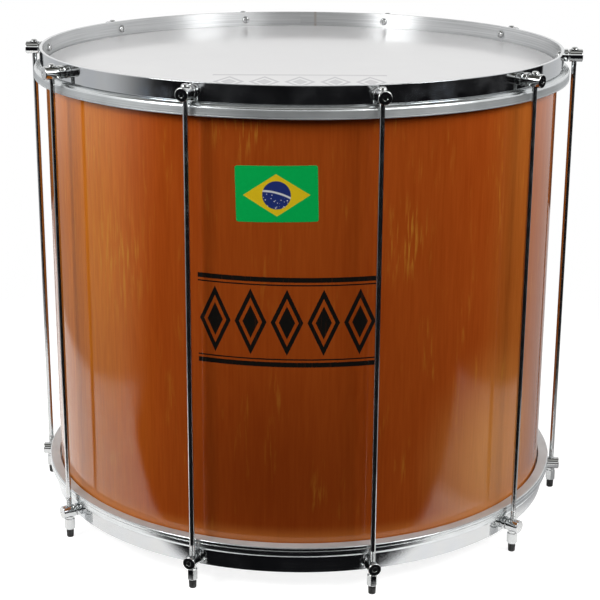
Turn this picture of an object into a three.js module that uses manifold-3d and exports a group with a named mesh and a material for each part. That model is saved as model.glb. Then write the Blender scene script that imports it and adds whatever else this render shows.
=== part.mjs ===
// Surdo: a deep bass drum with two heads on a lacquered plywood shell.
// Millimetres, +Z up. The drum's axis is the Z axis, its front faces -Y,
// and the origin lies on the floor, midway under its ten rubber feet.
import * as THREE from 'three';
import { mergeVertices } from 'three/addons/utils/BufferGeometryUtils.js';
import Module from 'manifold-3d';

const wasm = await Module();
wasm.setup();

// Lug pattern: stations spaced evenly round the drum, the first one measured
// from the front towards +X. Every ring has a flat facet at each station.
const lugCount = 10;
const firstLugDegrees = 14.25;
const ringSidesPerLug = 6;
const ringSides = lugCount * ringSidesPerLug;
const postSides = 10;
const rodSides = 8;
const nutSides = 6;

// Clearances between neighbouring pieces
const seatGap = 0.3;
const collarGap = 0.5;
const rodRunningGap = 0.5;
const screwHoleGap = 0.7;
const rodToFleshHoopGap = 3.15;
const rodEndGap = 0.5;
const cutOverrun = 2;

// Shell: bent plywood, with a bearing edge at both ends
const shellRadius = 280;
const shellHeight = 464.2;
const shellWall = 7;
const bearingOuterBevel = 1.5;
const bearingFlat = 1.5;
const bearingInnerBevel = shellWall - bearingOuterBevel - bearingFlat;

// Reinforcing rings glued inside the shell's ends
const reinforcingRingWall = 6;
const reinforcingRingHeight = 30;

// Heads: a plastic film, bent down over the bearing edge into its flesh hoop
const filmThickness = 0.6;
const filmShoulder = 1.6;
const filmCollarHeight = 3;
const headRecess = 17;

// Flesh hoops: aluminium channel that holds the film's edge
const fleshHoopWidth = 11.3;
const fleshHoopHeight = 12.1;
const fleshHoopShoulder = 2.6;
const fleshHoopEdgeBevel = 0.8;

// Counterhoops: flat steel band that presses a flesh hoop down
const hoopSetback = 1.6;
const hoopWall = 3;
const hoopHeight = 18.6;

// Lug posts: turned barrels, screwed on from inside the counterhoop
const postRadius = 6.9;
const postFlangeLength = 5.6;
const postGrooveWidth = 1.8;
const postGrooveRadius = 4.8;
const postNoseLength = 8.9;
const postNoseBevel = 0.9;
const postRecessRadius = 2.6;
const postRecessDepth = 0.9;
const spotfaceRadius = 4.8;
const spotfaceDepth = 1.7;
const screwShankRadius = 2.4;
const screwHeadRadius = 4.5;
const screwHeadHeight = 2.8;
const screwRimHeight = 1.1;
const screwDomeRadius = 3;

// Tension rods: domed head on the top post, thread at the lower end
const rodRadius = 2.75;
const threadRadius = 2.95;
const threadLength = 45;
const threadEndBevel = 0.8;
const rodHeadRadius = 4;
const rodHeadHeight = 3.6;
const rodRimHeight = 1.1;
const rodDomeRadius = 2.2;

// Tension nuts: hexagon under a round collar
const nutAcrossFlats = 10;
const nutHeight = 12.4;
const nutBevel = 1.3;
const nutCollarRadius = 4.4;
const nutCollarHeight = 3;

// Rubber feet: capped tubes under the nuts, round the ends of the rods
const footRadius = 4.1;
const footHeight = 9;
const footBevel = 1.1;
const footFloor = 2;

// Radii that follow from the shell outward
const filmRadius = shellRadius + collarGap + filmThickness;
const fleshHoopInnerRadius = filmRadius + seatGap;
const fleshHoopRadius = fleshHoopInnerRadius + fleshHoopWidth;
const hoopInnerRadius = fleshHoopInnerRadius + hoopSetback;
const hoopRadius = hoopInnerRadius + hoopWall;
const rodCircleRadius = fleshHoopRadius + rodToFleshHoopGap + rodRadius;

// Facets lie inside the circle of their corners by this factor
const ringFacetShare = Math.cos(Math.PI / ringSides);
const ringFirstCorner = THREE.MathUtils.degToRad(firstLugDegrees) + Math.PI / ringSides;
const nutCornerRadius = nutAcrossFlats / 2 / Math.cos(Math.PI / nutSides);

// Radii of the holes round a rod and round a post's screw
const rodHoleRadius = threadRadius + rodRunningGap;
const screwHoleRadius = screwShankRadius + screwHoleGap;

// Heights, from the floor up
const postSeat = postRadius - spotfaceDepth;
const nutTopBelowPost = postSeat + seatGap;
const lowerPostZ = footHeight + seatGap + nutHeight + nutCollarHeight + nutTopBelowPost;
const lowerRimZ = lowerPostZ - hoopHeight / 2;
const shellBottomZ = lowerRimZ + headRecess + filmThickness + seatGap;
const shellTopZ = shellBottomZ + shellHeight;
const upperRimZ = shellTopZ + seatGap + filmThickness + headRecess;
const upperPostZ = upperRimZ - hoopHeight / 2;

// The two ends of the drum: which way is outward, and where the rim, posts and shell's edge lie
const upperEnd = { outward: 1, rim: upperRimZ, post: upperPostZ, shellEdge: shellTopZ };
const lowerEnd = { outward: -1, rim: lowerRimZ, post: lowerPostZ, shellEdge: shellBottomZ };

// Finishes
const finishes = {
  lacqueredWood: { color: '#a4521c', roughness: 0.22, metalness: 0 },
  bareWood: { color: '#c59a66', roughness: 0.65, metalness: 0 },
  film: { color: '#e6e4e1', roughness: 0.18, metalness: 0 },
  aluminium: { color: '#b4b7b8', roughness: 0.34, metalness: 1 },
  chrome: { color: '#d9dbde', roughness: 0.08, metalness: 1 },
  rubber: { color: '#1d1c1c', roughness: 0.8, metalness: 0 },
};

// Six times the volume inside a triangle mesh; negative when it is inside out
function signedVolume(geometry) {
  const corner = geometry.attributes.position;
  const index = geometry.index.array;
  const a = new THREE.Vector3();
  const b = new THREE.Vector3();
  const c = new THREE.Vector3();
  let volume = 0;
  for (let i = 0; i < index.length; i += 3) {
    a.fromBufferAttribute(corner, index[i]);
    b.fromBufferAttribute(corner, index[i + 1]);
    c.fromBufferAttribute(corner, index[i + 2]);
    volume += a.dot(b.cross(c));
  }
  return volume;
}

// Merges shared corners, drops triangles that have shrunk to a line
// (a lathe leaves them on its axis), and turns the faces outward.
function closedSolid(geometry) {
  geometry.deleteAttribute('normal');
  geometry.deleteAttribute('uv');
  const solid = mergeVertices(geometry);
  const index = solid.index.array;
  const flip = signedVolume(solid) < 0;
  const kept = [];
  for (let i = 0; i < index.length; i += 3) {
    const [a, b, c] = [index[i], index[i + 1], index[i + 2]];
    if (a === b || b === c || c === a) continue;
    kept.push(...(flip ? [a, c, b] : [a, b, c]));
  }
  solid.setIndex(kept);
  return solid;
}

// A profile of [radius, height] points that starts and ends on the axis, turned about Z
function turned(profile, sides, firstCorner = 0) {
  const outline = profile.map(([radius, height]) => new THREE.Vector2(radius, height));
  const geometry = new THREE.LatheGeometry(outline, sides, firstCorner);
  geometry.rotateX(Math.PI / 2);
  return closedSolid(geometry);
}

// A ring of the drum: a profile that closes on itself, with a facet at each lug station
function turnedRing(profile) {
  return turned([...profile, profile[0]], ringSides, ringFirstCorner);
}

// A plain disc or bar about Z, from one height to another
function cylinder(radius, low, high, sides) {
  return turned([[0, low], [radius, low], [radius, high], [0, high]], sides);
}

function toManifold(solid) {
  return new wasm.Manifold(new wasm.Mesh({
    numProp: 3,
    vertProperties: new Float32Array(solid.attributes.position.array),
    triVerts: new Uint32Array(solid.index.array),
  }));
}

function fromManifold(body) {
  const mesh = body.getMesh();
  const geometry = new THREE.BufferGeometry();
  geometry.setAttribute('position', new THREE.BufferAttribute(mesh.vertProperties, 3));
  geometry.setIndex(new THREE.BufferAttribute(mesh.triVerts, 1));
  return closedSolid(geometry);
}

function cut(solid, ...tools) {
  return fromManifold(tools.reduce((body, tool) => body.subtract(toManifold(tool)), toManifold(solid)));
}

function join(solid, ...others) {
  return fromManifold(others.reduce((body, other) => body.add(toManifold(other)), toManifold(solid)));
}

// One named sub-part with a material of its own
function piece(name, solid, finish) {
  solid.computeVertexNormals();
  const mesh = new THREE.Mesh(solid, new THREE.MeshStandardMaterial(finishes[finish]));
  mesh.name = name;
  return mesh;
}

// The height that lies a given depth inside an end's rim, towards the middle of the drum
function inside(end, depth) {
  return end.rim - end.outward * depth;
}

// The shell's wall, bevelled at both ends so that the film bears on a narrow crest
function shell() {
  const crestRadius = shellRadius - bearingOuterBevel;
  const innerRadius = shellRadius - shellWall;
  return turnedRing([
    [shellRadius, shellBottomZ + bearingOuterBevel],
    [shellRadius, shellTopZ - bearingOuterBevel],
    [crestRadius, shellTopZ],
    [crestRadius - bearingFlat, shellTopZ],
    [innerRadius, shellTopZ - bearingInnerBevel],
    [innerRadius, shellBottomZ + bearingInnerBevel],
    [crestRadius - bearingFlat, shellBottomZ],
    [crestRadius, shellBottomZ],
  ]);
}

// A plain hoop of wood against the inside of the shell, below its bevel
function reinforcingRing(end) {
  const start = end.shellEdge - end.outward * bearingInnerBevel;
  const finish = start - end.outward * reinforcingRingHeight;
  const outerRadius = shellRadius - shellWall - seatGap;
  const innerRadius = outerRadius - reinforcingRingWall;
  return turnedRing([
    [outerRadius, start],
    [outerRadius, finish],
    [innerRadius, finish],
    [innerRadius, start],
  ]);
}

// A film: flat playing disc, sloped shoulder, and a short collar round the shell
function film(end) {
  const face = inside(end, headRecess);
  const back = inside(end, headRecess + filmThickness);
  const hem = inside(end, headRecess + filmCollarHeight);
  const shoulder = inside(end, headRecess + filmShoulder);
  const backShoulder = inside(end, headRecess + filmThickness + filmShoulder);
  const collarInnerRadius = filmRadius - filmThickness;
  return turned([
    [0, face],
    [filmRadius - filmShoulder, face],
    [filmRadius, shoulder],
    [filmRadius, hem],
    [collarInnerRadius, hem],
    [collarInnerRadius, backShoulder],
    [collarInnerRadius - filmShoulder, back],
    [0, back],
  ], ringSides, ringFirstCorner);
}

// A flesh hoop: a heavy ring under the counterhoop, with a rounded outer shoulder
function fleshHoop(end) {
  const top = hoopHeight + seatGap;
  const bottom = top + fleshHoopHeight;
  const roundStart = fleshHoopRadius - fleshHoopShoulder;
  const roundMiddle = fleshHoopShoulder * (1 - Math.SQRT1_2);
  return turnedRing([
    [fleshHoopInnerRadius, inside(end, top)],
    [roundStart, inside(end, top)],
    [fleshHoopRadius - roundMiddle, inside(end, top + roundMiddle)],
    [fleshHoopRadius, inside(end, top + fleshHoopShoulder)],
    [fleshHoopRadius, inside(end, bottom - fleshHoopEdgeBevel)],
    [fleshHoopRadius - fleshHoopEdgeBevel, inside(end, bottom)],
    [fleshHoopInnerRadius, inside(end, bottom)],
  ]);
}

// A counterhoop: a flat band with a round hole at every lug station
function counterhoop(end) {
  const band = turnedRing([
    [hoopRadius, inside(end, 0)],
    [hoopRadius, inside(end, hoopHeight)],
    [hoopInnerRadius, inside(end, hoopHeight)],
    [hoopInnerRadius, inside(end, 0)],
  ]);
  const holes = [];
  for (let lug = 0; lug < lugCount; lug += 1) {
    const hole = cylinder(screwHoleRadius, hoopInnerRadius - cutOverrun, hoopRadius + cutOverrun, rodSides);
    hole.rotateX(Math.PI / 2);
    hole.translate(0, 0, end.post);
    hole.rotateZ(lugAngle(lug));
    holes.push(hole);
  }
  return cut(band, ...holes);
}

// A lug post with its fixing screw, in its station's frame: the axis runs outward along -Y.
// The profile goes from the screw's domed head inside the hoop to the post's free end.
// The rod passes through the post upright, and its head or nut seats in a spotface.
function lugPost(end) {
  const headFace = hoopInnerRadius * ringFacetShare - seatGap;
  const headTop = headFace - screwHeadHeight;
  const flangeFace = hoopRadius * ringFacetShare + seatGap;
  const grooveStart = flangeFace + postFlangeLength;
  const grooveEnd = grooveStart + postGrooveWidth;
  const nose = rodCircleRadius + postNoseLength;
  const body = turned([
    [0, headTop],
    [screwDomeRadius, headTop],
    [screwHeadRadius, headFace - screwRimHeight],
    [screwHeadRadius, headFace],
    [screwShankRadius, headFace],
    [screwShankRadius, flangeFace],
    [postRadius, flangeFace],
    [postRadius, grooveStart],
    [postGrooveRadius, grooveStart],
    [postGrooveRadius, grooveEnd],
    [postRadius, grooveEnd],
    [postRadius, nose - postNoseBevel],
    [postRadius - postNoseBevel, nose],
    [postRecessRadius, nose],
    [postRecessRadius, nose - postRecessDepth],
    [0, nose - postRecessDepth],
  ], postSides);
  body.rotateX(Math.PI / 2);
  const reach = postRadius + cutOverrun;
  const rodHole = cylinder(rodHoleRadius, -reach, reach, rodSides);
  const spotface = end.outward > 0
    ? cylinder(spotfaceRadius, postSeat, reach, postSides)
    : cylinder(spotfaceRadius, -reach, -postSeat, postSides);
  rodHole.translate(0, -rodCircleRadius, 0);
  spotface.translate(0, -rodCircleRadius, 0);
  return cut(body, rodHole, spotface);
}

// A tension rod from the foot's floor to its domed head above the top post
function tensionRod() {
  const end = footFloor + rodEndGap;
  const headFace = upperPostZ + postSeat + seatGap;
  return turned([
    [0, end],
    [threadRadius - threadEndBevel, end],
    [threadRadius, end + threadEndBevel],
    [threadRadius, end + threadLength],
    [rodRadius, end + threadLength],
    [rodRadius, headFace],
    [rodHeadRadius, headFace],
    [rodHeadRadius, headFace + rodRimHeight],
    [rodDomeRadius, headFace + rodHeadHeight],
    [0, headFace + rodHeadHeight],
  ], rodSides);
}

// A tension nut: its collar turns in the lower post's spotface, and a flat of its hexagon faces outward
function tensionNut() {
  const bottom = footHeight + seatGap;
  const shoulder = bottom + nutHeight;
  const hexagon = turned([
    [0, bottom],
    [nutCornerRadius - nutBevel, bottom],
    [nutCornerRadius, bottom + nutBevel],
    [nutCornerRadius, shoulder],
    [0, shoulder],
  ], nutSides, Math.PI / nutSides);
  const collar = cylinder(nutCollarRadius, bottom + nutBevel, shoulder + nutCollarHeight, postSides);
  const high = shoulder + nutCollarHeight + cutOverrun;
  const hole = cylinder(rodHoleRadius, bottom - cutOverrun, high, rodSides);
  return cut(join(hexagon, collar), hole);
}

// A rubber foot: a capped tube with a rounded lower edge
function rubberFoot() {
  return turned([
    [0, 0],
    [footRadius - footBevel, 0],
    [footRadius, footBevel],
    [footRadius, footHeight],
    [rodHoleRadius, footHeight],
    [rodHoleRadius, footFloor],
    [0, footFloor],
  ], rodSides);
}

// A station's turn about Z, counted from the front towards +X
function lugAngle(lug) {
  return THREE.MathUtils.degToRad(firstLugDegrees) + (2 * Math.PI * lug) / lugCount;
}

const surdo = new THREE.Group();
surdo.add(piece('shell', shell(), 'lacqueredWood'));
surdo.add(piece('upper_reinforcing_ring', reinforcingRing(upperEnd), 'bareWood'));
surdo.add(piece('lower_reinforcing_ring', reinforcingRing(lowerEnd), 'bareWood'));
surdo.add(piece('batter_film', film(upperEnd), 'film'));
surdo.add(piece('batter_flesh_hoop', fleshHoop(upperEnd), 'aluminium'));
surdo.add(piece('batter_counterhoop', counterhoop(upperEnd), 'chrome'));
surdo.add(piece('resonant_film', film(lowerEnd), 'film'));
surdo.add(piece('resonant_flesh_hoop', fleshHoop(lowerEnd), 'aluminium'));
surdo.add(piece('resonant_counterhoop', counterhoop(lowerEnd), 'chrome'));

// Each lug station is a group turned to its place, with the rod upright at its radius
const stationPieces = [
  { name: 'upper_post', solid: lugPost(upperEnd), finish: 'chrome', place: [0, 0, upperPostZ] },
  { name: 'lower_post', solid: lugPost(lowerEnd), finish: 'chrome', place: [0, 0, lowerPostZ] },
  { name: 'tension_rod', solid: tensionRod(), finish: 'chrome', place: [0, -rodCircleRadius, 0] },
  { name: 'tension_nut', solid: tensionNut(), finish: 'chrome', place: [0, -rodCircleRadius, 0] },
  { name: 'rubber_foot', solid: rubberFoot(), finish: 'rubber', place: [0, -rodCircleRadius, 0] },
];
for (let lug = 0; lug < lugCount; lug += 1) {
  const station = new THREE.Group();
  station.rotation.z = lugAngle(lug);
  for (const { name, solid, finish, place } of stationPieces) {
    const mesh = piece(`${name}_${lug + 1}`, solid.clone(), finish);
    mesh.position.set(...place);
    station.add(mesh);
  }
  surdo.add(station);
}

export default surdo;
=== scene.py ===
"""Looks of a surdo: a deep two-headed bass drum with a lacquered plywood shell.

Every piece is a closed skin over a grid of points worked out in millimetres, in
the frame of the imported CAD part: Z is the drum's axis, the front faces -Y, and
angles round the drum count from the front towards +X.
"""

import math

import bpy
import numpy as np
from mathutils import Matrix, Vector


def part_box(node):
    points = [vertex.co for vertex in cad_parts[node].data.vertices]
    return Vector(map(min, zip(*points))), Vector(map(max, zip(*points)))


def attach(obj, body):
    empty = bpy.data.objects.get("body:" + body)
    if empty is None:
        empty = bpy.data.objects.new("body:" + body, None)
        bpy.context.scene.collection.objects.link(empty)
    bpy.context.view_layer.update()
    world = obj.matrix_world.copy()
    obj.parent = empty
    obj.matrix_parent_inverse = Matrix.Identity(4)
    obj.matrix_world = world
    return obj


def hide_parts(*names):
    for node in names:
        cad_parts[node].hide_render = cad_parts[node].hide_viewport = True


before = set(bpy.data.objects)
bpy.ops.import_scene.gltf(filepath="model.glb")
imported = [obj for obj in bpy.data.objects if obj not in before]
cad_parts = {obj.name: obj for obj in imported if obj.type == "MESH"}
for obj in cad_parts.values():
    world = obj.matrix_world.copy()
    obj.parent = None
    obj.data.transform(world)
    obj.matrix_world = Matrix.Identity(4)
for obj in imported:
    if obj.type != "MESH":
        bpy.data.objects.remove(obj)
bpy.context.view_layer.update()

MM = 0.001
SAME_PLACE = 1e-6  # mm between two points that count as one
TINY = 1e-9
CREASE = 32  # degrees past which an edge is shaded sharp


# ---------------- sizes of the frame

def around(node):
    """A CAD ring's inner radius, outer radius, lowest and highest level, in mm."""
    points = np.zeros(len(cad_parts[node].data.vertices) * 3)
    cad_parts[node].data.vertices.foreach_get("co", points)
    x, y, z = points.reshape(-1, 3).T / MM
    radius = np.hypot(x, y)
    return radius.min(), radius.max(), z.min(), z.max()


def box_mm(node):
    """A CAD node's lowest and highest corner, in mm."""
    return np.array(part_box(node)) / MM


def levels(node):
    """A CAD node's lowest and highest level, to a thousandth of a mm."""
    return [round(float(corner[2]), 3) for corner in box_mm(node)]


LUGS = sum(node.startswith("tension_rod_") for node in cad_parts)
ROD_X, ROD_Y, _ = box_mm("tension_rod_1").mean(axis=0)
ROD_CIRCLE = round(math.hypot(ROD_X, ROD_Y), 3)
FIRST_LUG = math.radians(round(math.degrees(math.atan2(ROD_X, -ROD_Y)), 2))
UPPER_POST, LOWER_POST = (sum(levels(node)) / 2 for node in ("upper_post_1", "lower_post_1"))


# ---------------- surfaces

def rounded(corners, steps=6, support=0.12):
    """A closed outline whose corners are arcs; each corner is (across, up, radius).

    With a the direction into a corner, b the one out of it and t the turn from a
    to b, the arc is start + radius * (sin(s t) a + (1 - cos(s t)) n) for s from 0
    to 1. Its start lies radius * tan(t / 2) before the corner, and n is square to
    a on b's side. One point close before and one close after each arc keep the
    straight between two arcs flat when it is shaded smooth.
    """
    corners = np.asarray(corners, float)
    place, radius = corners[:, :2], corners[:, 2:]
    side = np.roll(place, -1, 0) - place
    length = np.linalg.norm(side, axis=1, keepdims=True)
    b = side / length
    a = np.roll(b, 1, 0)
    turn = np.arccos(np.clip((a * b).sum(1, keepdims=True), -1, 1))
    reach = radius * np.tan(turn / 2)
    n = (b - a * np.cos(turn)) / np.maximum(np.sin(turn), TINY)
    start, end = place - a * reach, place + b * reach
    t = (turn * np.linspace(0, 1, steps + 1))[..., None]
    arc = start[:, None] + radius[:, None] * (np.sin(t) * a[:, None] + (1 - np.cos(t)) * n[:, None])
    after = np.minimum(support, (length - reach - np.roll(reach, -1, 0)) / 3)
    before = np.roll(after, 1, 0)
    line = np.concatenate([(start - a * before)[:, None], arc, (end + b * after)[:, None]], 1).reshape(-1, 2)
    return line[np.linalg.norm(np.roll(line, -1, 0) - line, axis=1) > SAME_PLACE]


def closed_skin(name, points, flat, crease=CREASE):
    """A closed mesh over a grid of points (rows, columns, 3) in mm.

    Each point is joined to the next in its row and to its like in the next row,
    and the last to the first both ways. A row that has shrunk to one place
    becomes one point, so its quads become triangles. The sign of the sum of
    a . (b x c) over the faces says whether they have to be turned outward.
    flat (rows, columns + 1, 2) is the piece's own map in mm, which isn't joined
    across its seam.
    """
    rows, columns = points.shape[:2]
    index = np.arange(rows * columns).reshape(rows, columns)
    shrunk = np.ptp(points, axis=1).max(axis=1) < SAME_PLACE
    index[shrunk] = index[shrunk, :1]
    above = np.roll(index, -1, 0)
    quads = np.stack([index, np.roll(index, -1, 1), np.roll(above, -1, 1), above], -1)
    flat_above = np.roll(flat, -1, 0)
    maps = np.stack([flat[:, :-1], flat[:, 1:], flat_above[:, 1:], flat_above[:, :-1]], -2)
    low, high = shrunk, np.roll(shrunk, -1)
    kinds = [(~low & ~high, [0, 1, 2, 3]), (low & ~high, [0, 2, 3]), (~low & high, [0, 1, 2])]
    faces = [quads[which][..., corners].reshape(-1, len(corners)) for which, corners in kinds]
    map_faces = [maps[which][..., corners, :].reshape(-1, len(corners), 2) for which, corners in kinds]
    place = points.reshape(-1, 3)
    volume = 0.0
    for face in faces:
        for k in range(1, face.shape[1] - 1):
            volume += (place[face[:, 0]] * np.cross(place[face[:, k]], place[face[:, k + 1]])).sum()
    if volume < 0:
        faces = [face[:, ::-1] for face in faces]
        map_faces = [face[:, ::-1] for face in map_faces]
    used = np.unique(np.concatenate([face.ravel() for face in faces]))
    mesh = bpy.data.meshes.new(name)
    mesh.from_pydata((place[used] * MM).tolist(), [],
                     [f for face in faces for f in np.searchsorted(used, face).tolist()])
    map_points = np.concatenate([face.reshape(-1) for face in map_faces])
    mesh.uv_layers.new(name="mm").data.foreach_set("uv", map_points)
    mesh.shade_smooth()
    mesh.set_sharp_from_angle(angle=math.radians(crease))
    return mesh


def turned(name, outline, columns):
    """An outline of (radius, height) turned about Z: (r sin t, -r cos t, h), t from -180 to 180 degrees.
    The map is (largest radius * t, height)."""
    angle = np.linspace(-np.pi, np.pi, columns + 1)
    radius, height = outline[:, :1], outline[:, 1:]
    t = angle[None, :-1]
    points = np.stack(np.broadcast_arrays(radius * np.sin(t), -radius * np.cos(t), height), -1)
    flat = np.stack(np.broadcast_arrays(radius.max() * angle[None], height), -1)
    return closed_skin(name, points, flat)


def laid(corners, level, up):
    """Corners given as (across, distance, radius) from a level, laid upward (up = 1) or downward (up = -1)."""
    return [(across, level + up * distance, radius) for across, distance, radius in corners]


def station(lug):
    """The turn that carries a piece from the front (-Y) to a lug's place."""
    return Matrix.Rotation(FIRST_LUG + 2 * math.pi * lug / LUGS, 4, "Z")


def placed(name, data):
    """A new object in the scene."""
    thing = bpy.data.objects.new(name, data)
    bpy.context.scene.collection.objects.link(thing)
    return thing


def fitted(name, mesh, material, slot, body, *nodes):
    """Puts a finished mesh into the scene as a piece that stands for CAD nodes, if any, and moves with a CAD body."""
    mesh.name = name
    mesh.materials.clear()
    mesh.materials.append(material)
    piece = placed(name, mesh)
    if nodes:
        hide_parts(*nodes)
    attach(piece, body)


# ---------------- finishes
# The object coordinate is a point's place in the frame in metres, and the map "mm" is the piece's own, in mm

SPOTS = 500.0  # waves a metre of a noise whose spots, half a wave each, are 1 mm wide

# Soft patches on a piece's own map, each (arc round from the front, height, half width, half height) in mm
FLECKED = [(-205.0, 335.0, 60.0, 95.0), (-238.0, 440.0, 40.0, 60.0), (-62.0, 475.0, 52.0, 30.0),
           (104.0, 365.0, 40.0, 60.0)]
# A patch of painted golden sheen, low on the right of the front
PAINTED_SHEEN_LOW_RIGHT = [(230.0, 112.0, 122.0, 145.0)]
# A patch of painted shade, low on the front
PAINTED_SHADE_LOW_FRONT = [(-20.0, 110.0, 130.0, 190.0)]
SMUDGED = [(-150.0, 510.0, 34.0, 16.0), (130.0, 508.0, 48.0, 16.0)]
WELD = 879.0  # mm round a hoop from the front, which is its back


def linear(code):
    """The linear colour of an sRGB hex code, by the standard's own curve, as Blender's sockets take it."""
    srgb = np.array([int(code[i:i + 2], 16) for i in (1, 3, 5)]) / 255
    return (*np.where(srgb <= 0.04045, srgb / 12.92, ((srgb + 0.055) / 1.055) ** 2.4).tolist(), 1.0)


def feed(node, *values, **inputs):
    """Gives a node's inputs their values: the first live ones in order, others by name, with _ for a space.
    A value is a number, a colour, or the socket that drives the input."""
    live = [socket for socket in node.inputs if socket.enabled]
    named = [node.inputs[name.replace("_", " ")] for name in inputs]
    for socket, value in zip([*live[:len(values)], *named], [*values, *inputs.values()]):
        if isinstance(value, bpy.types.NodeSocket):
            node.id_data.links.new(value, socket)
        else:
            socket.default_value = value


def add(tree, kind, *values, out=None, **settings):
    """Adds a node and gives back the output named by `out`, or else its first live one. Settings that begin with a
    capital letter are its inputs, as feed takes them, and the others are its own properties."""
    node = tree.nodes.new("ShaderNode" + kind)
    for name in [name for name in settings if name[0].islower()]:
        setattr(node, name, settings.pop(name))
    feed(node, *values, **settings)
    return node.outputs[out] if out else next((socket for socket in node.outputs if socket.enabled), None)


def finish(name, **constants):
    """A new material: its tree, and its Principled surface with the given constant sockets."""
    material = bpy.data.materials.new(name)
    material.use_nodes = True
    surface = material.node_tree.nodes["Principled BSDF"]
    feed(surface, **constants)
    return material, material.node_tree, surface


def streaks(tree, place, width, length, detail=2.0):
    """Noise drawn out along Z, with streaks of a width and a length in mm."""
    drawn = add(tree, "Mapping", place, Scale=(SPOTS / width, SPOTS / width, SPOTS / length))
    return add(tree, "TexNoise", drawn, Scale=1.0, Detail=detail)


def layered(tree, *layers):
    """Several patterns laid over each other, each given with its share."""
    tone = 0.0
    for share, pattern in layers:
        tone = add(tree, "Math", pattern, share, tone, operation="MULTIPLY_ADD")
    return tone


def between(tree, value, low, high, edge=0.25):
    """1 where a value lies between two others, 0 outside, and in between over `edge` on either side of each.
    In mm, an edge of 0.25 is as soft as ink."""
    inside = add(tree, "MapRange", value, From_Min=low - edge, From_Max=low + edge)
    outside = add(tree, "MapRange", value, From_Min=high - edge, From_Max=high + edge, To_Min=1.0, To_Max=0.0)
    return add(tree, "Math", inside, outside, operation="MULTIPLY")


def lozenge_band(tree, spot):
    """A printed band of five lozenges between double border lines, as ink from 0 to 1; spot is in mm from its middle.
    A lozenge is |p| / half its width + |q| / half its height < 1, with p counted from the nearest one's middle."""
    half_length, pitch, half_wide, half_high = 90.0, 36.0, 16.0, 34.0
    thick_line, thin_line, outer_ring, heart = (41.0, 46.0), (37.4, 38.8), (0.72, 1.0), (-1.0, 0.50)
    line_edge, lozenge_edge = 0.25, 0.012
    along, up = add(tree, "SeparateXYZ", spot).node.outputs[:2]
    reach = add(tree, "Math", along, operation="ABSOLUTE")
    height = add(tree, "Math", up, operation="ABSOLUTE")
    near = add(tree, "Math", along, pitch / 2, -pitch / 2, operation="WRAP")
    near = add(tree, "Math", near, operation="ABSOLUTE")
    lozenge = add(tree, "Math", add(tree, "Math", near, half_wide, operation="DIVIDE"),
                  add(tree, "Math", height, half_high, operation="DIVIDE"), operation="ADD")
    ink = 0.0
    for value, limits, edge in ((lozenge, outer_ring, lozenge_edge), (lozenge, heart, lozenge_edge),
                                (height, thick_line, line_edge), (height, thin_line, line_edge)):
        ink = add(tree, "Math", ink, between(tree, value, *limits, edge), operation="ADD")
    return add(tree, "Math", ink, between(tree, reach, -1.0, half_length), operation="MULTIPLY")


def gathered(tree, wrap, patches):
    """1 in the middle of each soft patch of a piece's own map, fading to 0 at its rim."""
    near = 0.0
    for arc, height, half_wide, half_high in patches:
        spot = add(tree, "Mapping", wrap, vector_type="TEXTURE", Location=(arc, height, 0.0),
                   Scale=(half_wide, half_high, 1.0))
        reach = add(tree, "VectorMath", spot, operation="LENGTH")
        patch = add(tree, "MapRange", reach, From_Min=1.0, From_Max=0.1, interpolation_type="SMOOTHSTEP")
        near = add(tree, "Math", near, patch, operation="MAXIMUM")
    return near


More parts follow.
